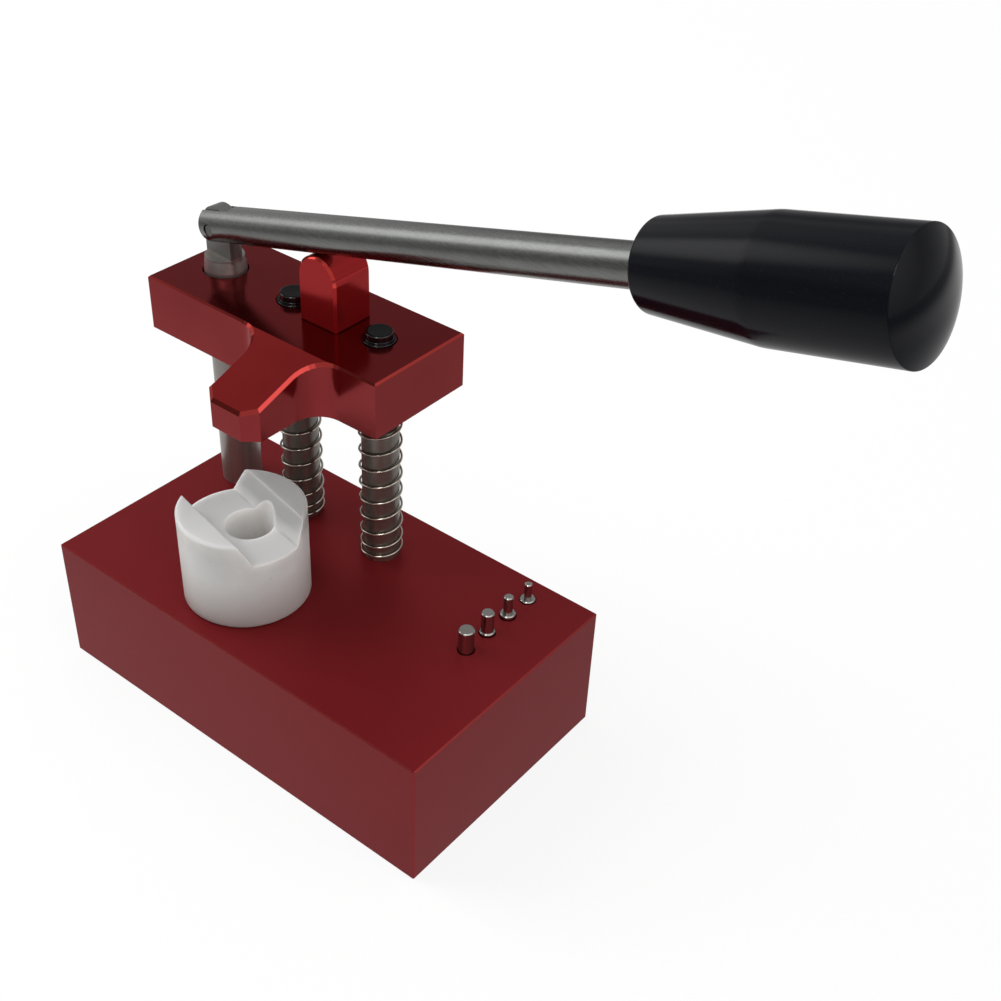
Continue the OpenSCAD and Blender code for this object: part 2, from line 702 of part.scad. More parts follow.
// Tapered handle with a domed end
module handle() {
  rim = handle_taper_length + handle_grip_length;
  dome_r = (pow(handle_far_d / 2, 2) + pow(handle_dome, 2)) / (2 * handle_dome);
  near_r = handle_near_d / 2;
  round_steps = 6;
  color([0.02, 0.02, 0.022])
  on_rod()
  translate([0, 0, handle_distance])
  difference() {
    union() {
      rotate_extrude()
        polygon(concat([[0, 0]],
          [for (k = [0 : round_steps])
            let (a = -90 + 90 * k / round_steps)
            [near_r - handle_near_round + handle_near_round * cos(a),
              handle_near_round + handle_near_round * sin(a)]],
          [[handle_far_d / 2, handle_taper_length], [handle_far_d / 2, rim], [0, rim]]));
      intersection() {
        translate([0, 0, rim - over]) cylinder(h = handle_dome + 2 * over, d = handle_far_d);
        translate([0, 0, rim + handle_dome - dome_r]) sphere(r = dome_r);
      }
    }
    translate([0, 0, -over])
      cylinder(h = insert_length + over, r = insert_d / 2 + seat_clearance);
  }
}

// Threaded insert that fixes the handle on the rod's stud
module handle_insert() {
  color([0.72, 0.6, 0.3])
  on_rod()
  translate([0, 0, handle_distance])
  difference() {
    cylinder(h = insert_length, d = insert_d);
    translate([0, 0, -over])
      cylinder(h = rod_stud_length + insert_end_gap + over, r = rod_stud_d / 2 + seat_clearance);
  }
}

// Loose round holder with a groove across its top and a through bore
module case_holder() {
  floor_z = holder_height - groove_depth;
  color([0.93, 0.93, 0.92])
  translate([press_x - holder_shift_x, socket_y, base_height])
  rotate([0, 0, -groove_turn])
  translate([0, -holder_bore_offset, 0])
  difference() {
    bevelled_bar(holder_d / 2, holder_height, holder_bevel, holder_bevel);
    translate([0, holder_bore_offset, -over])
      cylinder(h = holder_height + 2 * over, d = holder_bore_d);
    translate([-holder_d, 0, floor_z])
      rotate([90, 0, 90])
        linear_extrude(2 * holder_d) groove_profile();
  }
}

// Section of the groove, with its floor on the x axis
module groove_profile() {
  half_floor = groove_floor_width / 2;
  half_top = groove_top_width / 2;
  spread = (half_top - half_floor) / groove_depth;
  polygon([[-half_floor, 0], [half_floor, 0], [half_top + spread * over, groove_depth + over],
    [-half_top - spread * over, groove_depth + over]]);
}

// Place of ejector pin k + 1, counted from the front
function pin_y(k) = base_depth / 2 - pin_back_inset - (3 - k) * pin_pitch;

// Ejector pin standing in its hole, with a thinner tip
module ejector_pin(k, shank_height, tip_d, tip_length) {
  color([0.6, 0.59, 0.57])
  translate([pin_row_x, pin_y(k), base_height - pin_hole_depth])
  union() {
    bevelled_bar(shank_d / 2, shank_height, shank_bevel, shank_bevel);
    translate([0, 0, shank_height]) bevelled_bar(tip_d / 2, tip_length, 0, shank_bevel);
  }
}

// The ejector pin without a thinner tip
module plain_pin() {
  color([0.6, 0.59, 0.57])
  translate([pin_row_x, pin_y(0), base_height - pin_hole_depth])
    bevelled_bar(shank_d / 2, shank_1_height, shank_bevel, shank_bevel);
}

base_block();
guide_post(guide_left_x);  // guide_post_left
guide_post(guide_right_x);  // guide_post_right
guide_cap(guide_left_x);  // guide_cap_left
guide_cap(guide_right_x);  // guide_cap_right
lever_post();
post_screws();
spring(guide_left_x, left_spring_start);  // spring_left
spring(guide_right_x, right_spring_start);  // spring_right
press_plate();
fulcrum_block();
block_screw();
lever_rod();
pivot_pin();
handle();
handle_insert();
case_holder();
plain_pin();  // ejector_pin_1
ejector_pin(1, shank_2_height, tip_2_d, tip_2_length);  // ejector_pin_2
ejector_pin(2, shank_3_height, tip_3_d, tip_3_length);  // ejector_pin_3
ejector_pin(3, shank_4_height, tip_4_d, tip_4_length);  // ejector_pin_4
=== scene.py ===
"""Looks of the crown tube remover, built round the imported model. Metres, +Z up, -Y is the front."""
import json
import math

import bpy
from mathutils import Matrix, Vector


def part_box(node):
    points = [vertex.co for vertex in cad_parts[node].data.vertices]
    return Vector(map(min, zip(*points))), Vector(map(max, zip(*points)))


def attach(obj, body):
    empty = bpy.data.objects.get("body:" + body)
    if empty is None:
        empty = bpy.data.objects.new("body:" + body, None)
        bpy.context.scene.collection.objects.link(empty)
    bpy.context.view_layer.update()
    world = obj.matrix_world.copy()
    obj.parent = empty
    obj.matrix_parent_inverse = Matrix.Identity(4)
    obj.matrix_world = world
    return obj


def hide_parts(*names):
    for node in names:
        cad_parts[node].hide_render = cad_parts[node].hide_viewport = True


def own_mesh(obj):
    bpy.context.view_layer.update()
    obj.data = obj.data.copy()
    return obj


MM = 0.001

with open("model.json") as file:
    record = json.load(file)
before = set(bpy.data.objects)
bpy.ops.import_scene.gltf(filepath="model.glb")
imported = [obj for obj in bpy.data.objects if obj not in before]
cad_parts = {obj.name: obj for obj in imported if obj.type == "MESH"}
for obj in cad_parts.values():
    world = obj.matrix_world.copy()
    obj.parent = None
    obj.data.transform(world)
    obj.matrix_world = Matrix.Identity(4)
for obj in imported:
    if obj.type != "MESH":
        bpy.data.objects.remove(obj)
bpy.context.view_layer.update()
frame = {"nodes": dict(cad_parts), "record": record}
nodes = frame["nodes"]


def centre(node):
    low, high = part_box(node)
    return (low + high) / 2


# ---------------------------------------------------------------- camera
CAMERA_PLACE = (0.16536, -0.16245, 0.22525)
CAMERA_AZIMUTH, CAMERA_ELEVATION, CAMERA_ROLL = (math.radians(a) for a in (-53.504, 36.941, 2.9586))
SENSOR, LENS = 36.0, 51.25


def make_camera():
    """The camera fitted to the photograph's edges, with its roll about the line of sight."""
    ce, se = math.cos(CAMERA_ELEVATION), math.sin(CAMERA_ELEVATION)
    back = Vector((ce * math.cos(CAMERA_AZIMUTH), ce * math.sin(CAMERA_AZIMUTH), se))
    right = (-back).cross(Vector((0, 0, 1))).normalized()
    up = right.cross(-back)
    c, s = math.cos(CAMERA_ROLL), math.sin(CAMERA_ROLL)
    x, y = c * right + s * up, -s * right + c * up
    data = bpy.data.cameras.new("camera")
    data.lens, data.sensor_width, data.sensor_fit = LENS, SENSOR, "HORIZONTAL"
    data.clip_start, data.clip_end = 0.01, 20.0
    camera = bpy.data.objects.new("camera", data)
    turned = Matrix((x, y, back)).transposed().to_4x4()
    camera.matrix_world = Matrix.Translation(CAMERA_PLACE) @ turned
    bpy.context.scene.collection.objects.link(camera)
    bpy.context.scene.camera = camera


make_camera()


# ---------------------------------------------------------------- shader helpers
class Tree:
    """A material's node tree with short calls for the nodes used here."""

    def __init__(self, name):
        self.material = bpy.data.materials.new(name)
        self.material.use_nodes = True
        self.nodes = self.material.node_tree.nodes
        self.links = self.material.node_tree.links
        self.nodes.clear()
        self.out = self.add("OutputMaterial")

    def add(self, kind, **settings):
        node = self.nodes.new("ShaderNode" + kind)
        for key, value in settings.items():
            setattr(node, key, value)
        return node

    def put(self, socket, value):
        """Links a socket to another, or sets its value."""
        if isinstance(value, bpy.types.NodeSocket):
            self.links.new(value, socket)
        elif value is not None:
            if socket.type == "RGBA" and len(value) == 3:
                value = (*value, 1)
            socket.default_value = value

    def where(self, scale=(1, 1, 1)):
        """The object's own coordinates, scaled."""
        mapping = self.add("Mapping")
        self.put(mapping.inputs["Vector"], self.add("TexCoord").outputs["Object"])
        mapping.inputs["Scale"].default_value = scale
        return mapping.outputs["Vector"]

    def normal(self):
        return self.add("TexCoord").outputs["Normal"]

    def split(self, vector):
        """The X, Y and Z of a vector."""
        node = self.add("SeparateXYZ")
        self.put(node.inputs[0], vector)
        return node.outputs["X"], node.outputs["Y"], node.outputs["Z"]

    def distance(self, vector, place):
        node = self.add("VectorMath", operation="DISTANCE")
        self.put(node.inputs[0], vector)
        node.inputs[1].default_value = place
        return node.outputs["Value"]

    def radius(self, place):
        """The distance from an upright axis through place, an (x, y)."""
        flat = self.add("VectorMath", operation="MULTIPLY")
        self.put(flat.inputs[0], self.add("TexCoord").outputs["Object"])
        flat.inputs[1].default_value = (1, 1, 0)
        return self.distance(flat.outputs[0], (*place, 0))

    def noise(self, vector, scale, detail=3.0, rough=0.5):
        node = self.add("TexNoise")
        self.put(node.inputs["Vector"], vector)
        node.inputs["Scale"].default_value = scale
        node.inputs["Detail"].default_value = detail
        node.inputs["Roughness"].default_value = rough
        return node.outputs["Fac"]

    def ramp(self, value, low, high, low_out=0.0, high_out=1.0):
        node = self.add("MapRange", clamp=True)
        self.put(node.inputs["Value"], value)
        for key, limit in (("From Min", low), ("From Max", high), ("To Min", low_out), ("To Max", high_out)):
            node.inputs[key].default_value = limit
        return node.outputs["Result"]

    def mix(self, share, a, b):
        node = self.add("Mix", data_type="RGBA")
        self.put(node.inputs[0], share)
        self.put(node.inputs[6], a)
        self.put(node.inputs[7], b)
        return node.outputs[2]

    def math(self, kind, a, b=None):
        node = self.add("Math", operation=kind)
        self.put(node.inputs[0], a)
        self.put(node.inputs[1], b)
        return node.outputs[0]

    def bump(self, height, distance, normal=None):
        node = self.add("Bump")
        self.put(node.inputs["Normal"], normal)
        self.put(node.inputs["Height"], height)
        node.inputs["Distance"].default_value = distance
        node.inputs["Strength"].default_value = 1.0
        return node.outputs["Normal"]

    def surface(self, **inputs):
        shader = self.add("BsdfPrincipled")
        for key, value in inputs.items():
            self.put(shader.inputs[key.replace("_", " ")], value)
        self.links.new(shader.outputs[0], self.out.inputs["Surface"])


# ---------------------------------------------------------------- materials
# heights of a face's normal, from 0 for an upright face to 1 for one that looks up
LOOKS_UP = (0.93, 0.99)
LEANS_FROM, LEANS_TO = (0.15, 0.3), (0.93, 0.97)
OFF_THE_SLOPE = (0.01, 0.03)
# noise scales are in cycles to a metre
MILLING = (260, 2600, 2600)
PALE_SPECK = (0.30, 0.08, 0.08)


def anodised(name, top, side, edge, roughness, edge_roughness, metallic, slope=None, painted_slope_tone=None,
             corners=False, sideways=False, specular=0.12, glance=(1.0, 0.8, 0.8), front=1.0,
             grain=0.002 * MM):
    """Red anodised aluminium: satin faces with fine milling grain, and bevels with a painted highlight.

    The bevels are found by the object's own normals. top and side are painted light, lit and
    shaded copies of one red for the faces that look up and the upright ones, and edge is the
    bevels' brighter colour, a painted highlight. slope is the height of the normal of a face that
    leans as a bevel does but is a main face, and sloped is its colour, painted light as well.
    corners also gives upright bevels the painted highlight, and sideways takes only bevels that face
    partly along Y, not a top that is round about Y. glance tints the reflection at low angles, and
    front is the share of their brightness that bevels along X keep, a painted shade on them.
    """
    t = Tree(name)
    here = t.where()
    x, y, up = t.split(t.normal())
    x, y = t.math("ABSOLUTE", x), t.math("ABSOLUTE", y)
    leaning = t.math("MULTIPLY", y, t.ramp(up, 0.02, 0.05)) if sideways else up
    bevel = t.math("MULTIPLY", t.ramp(leaning, *LEANS_FROM), t.ramp(leaning, *LEANS_TO, 1.0, 0.0))
    if slope is not None:
        away = t.math("ABSOLUTE", t.math("SUBTRACT", up, slope))
        bevel = t.math("MULTIPLY", bevel, t.ramp(away, *OFF_THE_SLOPE))
    # painted highlight: upright bevels at corners get part of the bevels' bright colour too
    if corners:
        bevel = t.math("MAXIMUM", bevel, t.ramp(t.math("MULTIPLY", x, y), 0.15, 0.3, 0.0, 0.4))
    cloud = t.noise(here, 45, 2)
    fine = t.noise(t.where(MILLING), 1.0, 3, 0.6)
    speck = t.noise(here, 4200, 1)
    # painted light: faces that look up take the top tone and the rest the side tone, lit and shaded copies
    # of one red
    face = t.mix(t.ramp(up, *LOOKS_UP), side, top)
    # painted light: a main face that leans like a bevel takes its own sloped colour
    if slope is not None:
        face = t.mix(t.ramp(away, *OFF_THE_SLOPE, 1.0, 0.0), face, painted_slope_tone)
    face = t.mix(t.ramp(cloud, 0.3, 0.7, 0, 0.25), face, tuple(c * 0.8 for c in top))
    face = t.mix(t.ramp(speck, 0.70, 0.82, 0, 0.12), face, PALE_SPECK)
    # painted highlight: the bevels' bright edge colour; bevels with little X in their normals keep only the
    # front share, a painted shade
    cut = t.mix(t.ramp(x, 0.02, 0.15), tuple(c * front for c in edge), edge)
    rough = t.ramp(fine, 0.3, 0.7, roughness - 0.015, roughness + 0.02)
    rough = t.math("ADD", t.math("MULTIPLY", rough, t.math("SUBTRACT", 1.0, bevel)),
                   t.math("MULTIPLY", bevel, edge_roughness))
    t.surface(
        Base_Color=t.mix(bevel, face, cut), Metallic=t.math("MAXIMUM", bevel, metallic), Roughness=rough,
        Specular_IOR_Level=specular, Specular_Tint=glance, Normal=t.bump(fine, grain),
    )
    return t.material


TURNING_RINGS = 16000
COLOUR_CHANGE = 0.2 * MM


def steel(name, colour, roughness, along, grain=0.006 * MM, stretch=(40, 1500), dark=0.85,
          metallic=1.0, turned=None, above=None):
    """Steel with drawn or turned grain along one axis of the piece, or the same all ways.

    stretch is the noise along and across the grain, and dark the share of the colour that its
    dark streaks keep. turned is the (x, y) of an upright axis with turning rings round it, and
    above is a (height, colour) that takes over higher up.
    """
    t = Tree(name)
    scale = [stretch[1]] * 3
    if along is not None:
        scale[along] = stretch[0]
    grit = t.noise(t.where(tuple(scale)), 1.0, 4, 0.65)
    cloud = t.noise(t.where(), 180, 3)
    low = tuple(c * dark for c in colour)
    tone = t.mix(t.ramp(grit, 0.3, 0.7), low, colour)
    tone = t.mix(t.ramp(cloud, 0.4, 0.7, 0, 0.35), tone, low)
    if turned is not None:
        line = t.add("CombineXYZ")
        t.put(line.inputs["X"], t.math("MULTIPLY", t.radius(turned), TURNING_RINGS))
        rings = t.noise(line.outputs[0], 1.0, 1)
        tone = t.mix(t.ramp(rings, 0.35, 0.65, 0, 0.6), tone, tuple(c * 0.45 for c in colour))
    if above is not None:
        height = t.split(t.where())[2]
        tone = t.mix(t.ramp(height, above[0], above[0] + COLOUR_CHANGE), tone, above[1])
    t.surface(
        Base_Color=tone, Metallic=metallic, Specular_IOR_Level=0.3,
        Roughness=t.ramp(grit, 0.25, 0.75, roughness - 0.03, roughness + 0.06),
        Normal=t.bump(grit, grain),
    )
    return t.material


# the case holder's axis, and the stretches over which its tone changes: painted light and shade at the bore,
# the foot, the left, the right and the back
HOLDER_BORE, BORE_MOUTH = (-9.6 * MM, -10.8 * MM), (5.0 * MM, 5.3 * MM)
HOLDER_FOOT = (30.3 * MM, 42.0 * MM)
HOLDER_LEFT, HOLDER_RIGHT = (-23.0 * MM, -9.0 * MM), (-10.0 * MM, 4.0 * MM)
BACK_HEIGHT, BACK_DEPTH = (46.5 * MM, 48.5 * MM), (-9.5 * MM, -7.5 * MM)
# NYLON_LOW and NYLON_HIGH are the nylon's own mottled tones and NYLON_MARK its marks; the other colours are
# painted light and shade
NYLON_LOW, NYLON_HIGH, NYLON_PAINTED_TOP_LIGHT = (0.56, 0.554, 0.54), (0.61, 0.605, 0.59), (0.56, 0.565, 0.56)
NYLON_PAINTED_SHADE_LEFT, NYLON_PAINTED_SHADE_BACK, NYLON_PAINTED_LIGHT_BORE = (0.47, 0.474, 0.47), (0.38, 0.382, 0.377), (0.90, 0.89, 0.87)
NYLON_PAINTED_SHADE_FOOT, NYLON_PAINTED_SHADE_RIGHT, NYLON_MARK = (0.36, 0.325, 0.31), (0.36, 0.34, 0.33), (0.30, 0.29, 0.27)


def nylon():
    """White turned nylon, slightly translucent, with soft edges and a few marks, and painted light and
    shade: its own tone on faces that look up, painted shade on the left's upper faces, behind, at the foot
    and to the right, these last two with a reddish cast of painted bounce light, and painted light in the
    bore.
    """
    t = Tree("turned_nylon")
    here = t.where()
    x, y, height = t.split(here)
    mottle = t.noise(here, 160, 3, 0.5)
    tone = t.mix(t.ramp(mottle, 0.3, 0.7), NYLON_LOW, NYLON_HIGH)
    # painted light: faces that look up take a tone of their own
    level = t.ramp(t.split(t.normal())[2], 0.4, 0.8)
    tone = t.mix(level, tone, NYLON_PAINTED_TOP_LIGHT)
    # painted shade on the upper faces at the left
    tone = t.mix(t.math("MULTIPLY", level, t.ramp(x, *HOLDER_LEFT, 1.0, 0.0)), tone, NYLON_PAINTED_SHADE_LEFT)
    # painted shade on the upper parts behind the bore
    behind = t.math("MULTIPLY", t.ramp(height, *BACK_HEIGHT), t.ramp(y, *BACK_DEPTH))
    tone = t.mix(behind, tone, NYLON_PAINTED_SHADE_BACK)
    # painted shade with a reddish cast of painted bounce light, towards the foot
    tone = t.mix(t.ramp(height, *HOLDER_FOOT, 1.0, 0.0), tone, NYLON_PAINTED_SHADE_FOOT)
    # painted shade with a reddish cast of painted bounce light, towards the right
    tone = t.mix(t.ramp(x, *HOLDER_RIGHT, 0.0, 0.15), tone, NYLON_PAINTED_SHADE_RIGHT)
    # painted light in the bore
    tone = t.mix(t.ramp(t.radius(HOLDER_BORE), *BORE_MOUTH, 0.95, 0.0), tone, NYLON_PAINTED_LIGHT_BORE)
    tone = t.mix(t.ramp(t.noise(here, 1100, 0), 0.84, 0.87, 0, 0.3), tone, NYLON_MARK)
    rings = t.noise(t.where((30, 30, 2600)), 1.0, 2)
    soft_edge = t.add("Bevel", samples=6)
    soft_edge.inputs["Radius"].default_value = 0.6 * MM
    t.surface(
        Base_Color=tone, Roughness=0.38, IOR=1.5, Specular_IOR_Level=0.25,
        Subsurface_Weight=1.0, Subsurface_Radius=(1.0, 0.93, 0.88), Subsurface_Scale=4.0 * MM,
        Normal=t.bump(rings, 0.008 * MM, normal=soft_edge.outputs[0]),
    )
    return t.material


def black_gloss(name, colour, roughness, ripple, specular, rims=None):
    """Glossy black with a slight swell in its surface and a little dust.

    specular is the specular level, and rims another one for the faces that don't look up.
    """
    t = Tree(name)
    if rims is not None:
        specular = t.ramp(t.split(t.normal())[2], 0.80, 0.97, rims, specular)
    swell = t.noise(t.where(), 90, 1)
    dust = t.noise(t.where(), 2600, 2)
    tone = t.mix(t.ramp(dust, 0.62, 0.8, 0, 0.3), colour, (0.02, 0.02, 0.022))
    t.surface(
        Base_Color=tone, Roughness=t.ramp(dust, 0.4, 0.8, roughness, roughness + 0.06), IOR=1.5,
        Specular_IOR_Level=specular, Normal=t.bump(swell, ripple),
    )
    return t.material


NOSE_DROP, NOSE_REACH = 6.0, 17.3
NOSE_SLOPE = math.cos(math.atan(NOSE_DROP / NOSE_REACH))
TONGUE_FOOT = 86.6 * MM

looks = {
    # anodised tones: the top, side and slope colours are painted light and shade, the edge colours painted
    # highlights
    "red_base": anodised(
        "anodised_base", (0.196, 0.014, 0.017), (0.172, 0.011, 0.014), (0.30, 0.035, 0.035),
        0.40, 0.25, 0.55, corners=True),
    "red_plate": anodised(
        "anodised_plate", (0.143, 0.008, 0.010), (0.250, 0.032, 0.034), (0.50, 0.055, 0.048),
        0.16, 0.10, 0.92, slope=NOSE_SLOPE, painted_slope_tone=(0.275, 0.020, 0.020),
        glance=(1.0, 0.74, 0.74), front=0.27),
    "red_block": anodised(
        "anodised_block", (0.31, 0.013, 0.011), (0.355, 0.015, 0.018), (0.60, 0.055, 0.044),
        0.16, 0.10, 0.72, sideways=True, specular=0.35),
    "guide_steel": steel("ground_steel", (0.185, 0.168, 0.148), 0.30, 2, metallic=0.8),
    "lever_steel": steel(
        "brushed_steel", (0.22, 0.224, 0.216), 0.24, 0, grain=0.005 * MM, stretch=(160, 3600), dark=0.68),
    "spring_wire": steel("spring_wire_steel", (0.42, 0.385, 0.33), 0.07, None, grain=0.0007 * MM),
    "screw_steel": steel("black_oxide", (0.03, 0.03, 0.032), 0.35, None),
    "insert_brass": steel("turned_brass", (0.5, 0.36, 0.14), 0.3, None),
    "black_caps": black_gloss("black_cap", (0.0015, 0.0015, 0.0020), 0.10, 0.01 * MM, 0.08, rims=0.7),
    "black_handle": black_gloss("black_handle", (0.0030, 0.0033, 0.0056), 0.12, 0.02 * MM, 0.12),
    "white_nylon": nylon(),
}
# nodes whose look isn't the one of their slot
own_looks = {
    "lever_post": steel(
        "post_steel", (0.31, 0.285, 0.265), 0.34, 2, metallic=0.8,
        above=(TONGUE_FOOT, (0.17, 0.172, 0.165))),
    "pivot_pin": steel("pivot_steel", (0.13, 0.128, 0.12), 0.25, None),
}
for row in range(1, 5):
    pin = "ejector_pin_%d" % row
    own_looks[pin] = steel(
        "turned_steel_%d" % row, (0.40, 0.385, 0.365), 0.20, 2, turned=tuple(centre(pin))[:2])

slot_of = {s["node"]: s["material_slot"] for s in frame["record"]["subparts"]}
for node_name, node in nodes.items():
    look = own_looks[node_name] if node_name in own_looks else looks[slot_of[node_name]]
    for material_slot in node.material_slots:
        material_slot.material = look


# ---------------------------------------------------------------- mesh helpers
def mesh_piece(name, vertices, faces, look):
    mesh = bpy.data.meshes.new(name)
    mesh.from_pydata(vertices, [], faces)
    mesh.validate()
    mesh.materials.append(looks[look])
    piece = bpy.data.objects.new(name, mesh)
    bpy.context.scene.collection.objects.link(piece)
    for face in mesh.polygons:
        face.use_smooth = True
    return piece


def lathe(name, profile, place, axis, look, segments):
    """Turns a profile of (distance along the axis, radius) points round an axis from place."""
    axis = axis.normalized()
    side = axis.orthogonal().normalized()
    other = axis.cross(side)
    vertices, faces = [], []
    rings = []
    for z, r in profile:
        if r < 1e-7:
            rings.append([len(vertices)])
            vertices.append(place + z * axis)
            continue
        ring = []
        for k in range(segments):
            a = 2 * math.pi * k / segments
            ring.append(len(vertices))
            vertices.append(place + z * axis + r * (math.cos(a) * side + math.sin(a) * other))
        rings.append(ring)
    for p, q in zip(rings, rings[1:]):
        for k in range(segments):
            n = (k + 1) % segments
            if len(p) == 1:
                faces.append((p[0], q[n], q[k]))
            elif len(q) == 1:
                faces.append((p[k], p[n], q[0]))
            else:
                faces.append((p[k], p[n], q[n], q[k]))
    return mesh_piece(name, vertices, faces, look)


def rounded(points, radii, steps):
    """A profile through points whose corners are rounded by the radii given."""
    out = [points[0]]
    for before, corner, after, radius in zip(points, points[1:], points[2:], radii):
        p, c, n = (Vector(v) for v in (before, corner, after))
        a, b = (p - c).normalized(), (n - c).normalized()
        half = a.angle(b) / 2
        reach = min(radius / math.tan(half), 0.49 * (p - c).length, 0.49 * (n - c).length)
        start, end = c + a * reach, c + b * reach
        for i in range(steps + 1):
            t = i / steps
            out.append(tuple((1 - t) ** 2 * start + 2 * t * (1 - t) * c + t * t * end))
    out.append(points[-1])
    return out


# ---------------------------------------------------------------- springs
SPRING_RADIUS, WIRE = 4.35 * MM, 0.25 * MM
SPRING_TURNS, CLOSING, END_PITCH = 12.0, 2.86, 0.95 * MM
RINGS_PER_TURN, WIRE_SIDES = 40, 12


def make_spring(name, node, post, start, trim, body):
    """A wire compression spring round a post, whose pitch falls evenly over its closing ends.

    start is the angle in degrees at which its wire begins, and trim the share of a turn that is
    cut off each end.
    """
    low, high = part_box(node)
    seat, top = low.z, high.z
    x, y = tuple(centre(post))[:2]
    span = top - seat - 2 * WIRE
    pitch = (span - CLOSING * END_PITCH) / (SPRING_TURNS - CLOSING)
    growth = (pitch - END_PITCH) / CLOSING

    def end_rise(t):
        return END_PITCH * t + growth * t * t / 2

    def rise(t):
        if t < CLOSING:
            return end_rise(t)
        if t > SPRING_TURNS - CLOSING:
            return span - end_rise(SPRING_TURNS - t)
        return end_rise(CLOSING) + pitch * (t - CLOSING)

    vertices, faces = [], []
    first = int(trim * RINGS_PER_TURN)
    last = int(SPRING_TURNS * RINGS_PER_TURN) - first
    for i in range(last + 1):
        t = (i + first) / RINGS_PER_TURN
        a = math.radians(start) + 2 * math.pi * t
        lead = math.atan((rise(min(t + 0.01, SPRING_TURNS)) - rise(max(t - 0.01, 0))) / 0.02
                         / (2 * math.pi * SPRING_RADIUS))
        out = Vector((math.cos(a), math.sin(a), 0))
        up = Vector((math.sin(a) * math.sin(lead), -math.cos(a) * math.sin(lead), math.cos(lead)))
        mid = Vector((x, y, seat + WIRE + rise(t))) + SPRING_RADIUS * out
        for k in range(WIRE_SIDES):
            b = 2 * math.pi * k / WIRE_SIDES
            vertices.append(mid + WIRE * (math.cos(b) * out + math.sin(b) * up))
    for i in range(last):
        for k in range(WIRE_SIDES):
            a, b = i * WIRE_SIDES + k, i * WIRE_SIDES + (k + 1) % WIRE_SIDES
            faces.append((a, a + WIRE_SIDES, b + WIRE_SIDES, b))
    faces.append(tuple(range(WIRE_SIDES)))
    faces.append(tuple(reversed(range(last * WIRE_SIDES, (last + 1) * WIRE_SIDES))))
    piece = mesh_piece(name, vertices, faces, "spring_wire")
    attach(piece, body)
    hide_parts(node)
    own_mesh(piece)


make_spring("spring_wire_left", "spring_left", "guide_post_left", 109, 0, "base")
make_spring("spring_wire_right", "spring_right", "guide_post_right", 349, 0.25, "base")


# ---------------------------------------------------------------- handle
PIVOT = Vector((-40.2, 15.0, 92.6)) * MM
LEVER_RISE, LEVER_TURN = math.radians(16.43), math.radians(-4.5)
# how far the rod's line passes above the pivot, and how far along it the handle begins
ROD_OFFSET, HANDLE_START = 0.4 * MM, 112.9 * MM
# the handle sags a little against the rod, about a point inside it
DROOP, DROOP_CENTRE = math.radians(1.0), 136 * MM
# its outline in mm: the lengths of the taper, the grip and the shallow domed end, the radii of
# the near end and the grip, and the radius and height of the boss on the near face
TAPER, GRIP, DOME = 21.2, 23.1, 2.3
NEAR_RADIUS, GRIP_RADIUS = 7.5, 9.8
BOSS_RADIUS, BOSS_HEIGHT = 5.4, 0.15
DOME_STEPS = 14


def handle_profile():
    """The handle's outline: the near face with its boss, the taper, the grip and the domed end."""
    rim = TAPER + GRIP
    dome_radius = (GRIP_RADIUS ** 2 + DOME ** 2) / (2 * DOME)
    edge = math.asin(GRIP_RADIUS / dome_radius)
    angles = [edge * (1 - i / DOME_STEPS) for i in range(1, DOME_STEPS)]
    top = [(rim + DOME - dome_radius + dome_radius * math.cos(a), dome_radius * math.sin(a)) for a in angles]
    points = [(-BOSS_HEIGHT, 0.0), (-BOSS_HEIGHT, BOSS_RADIUS), (0.0, BOSS_RADIUS + BOSS_HEIGHT),
              (0.0, NEAR_RADIUS), (TAPER, GRIP_RADIUS), (rim, GRIP_RADIUS), top[0]]
    side = rounded(points, [0.05, 0.05, 0.7, 14.0, 0.25], 10)
    return [(z * MM, r * MM) for z, r in side + top[1:] + [(rim + DOME, 0.0)]]


def make_handle():
    along = Vector((math.cos(LEVER_RISE) * math.cos(LEVER_TURN),
                    math.cos(LEVER_RISE) * math.sin(LEVER_TURN), math.sin(LEVER_RISE)))
    across = Vector((math.sin(LEVER_TURN), -math.cos(LEVER_TURN), 0))
    line = PIVOT + across.cross(along) * ROD_OFFSET
    piece = lathe("handle_shell", handle_profile(), line + along * HANDLE_START, along, "black_handle", 128)
    middle = line + along * DROOP_CENTRE
    turn = Matrix.Rotation(-DROOP, 3, across)
    for vertex in piece.data.vertices:
        vertex.co = middle + turn @ (vertex.co - middle)
    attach(piece, "lever")
    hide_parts("handle")


make_handle()


# ---------------------------------------------------------------- caps
CAP_SEAT = 82.2 * MM
# (height over the seat, radius) in mm: shank, flange, collar, groove and a head with a shallow dish
CAP_POINTS = [(-6, 0), (-6, 1.5), (0, 1.5), (0, 3.35), (1.0, 3.35), (1.0, 2.95), (1.45, 2.95),
              (1.45, 2.55), (1.68, 2.55), (1.68, 2.78), (2.66, 2.78), (2.70, 2.30), (2.58, 0)]
CAP_RADII = [0.001, 0.02, 0.1, 0.14, 0.03, 0.1, 0.02, 0.02, 0.08, 0.22, 0.3]


def make_cap(name, node):
    middle = centre(node)
    place = Vector((middle.x, middle.y, CAP_SEAT))
    profile = [(z * MM, r * MM) for z, r in rounded(CAP_POINTS, CAP_RADII, 6)]
    piece = lathe(name, profile, place, Vector((0, 0, 1)), "black_caps", 96)
    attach(piece, "base")
    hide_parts(node)


make_cap("cap_left", "guide_cap_left")
make_cap("cap_right", "guide_cap_right")


# ---------------------------------------------------------------- floor, world and lamps
FLOOR_SIZE = 6.0
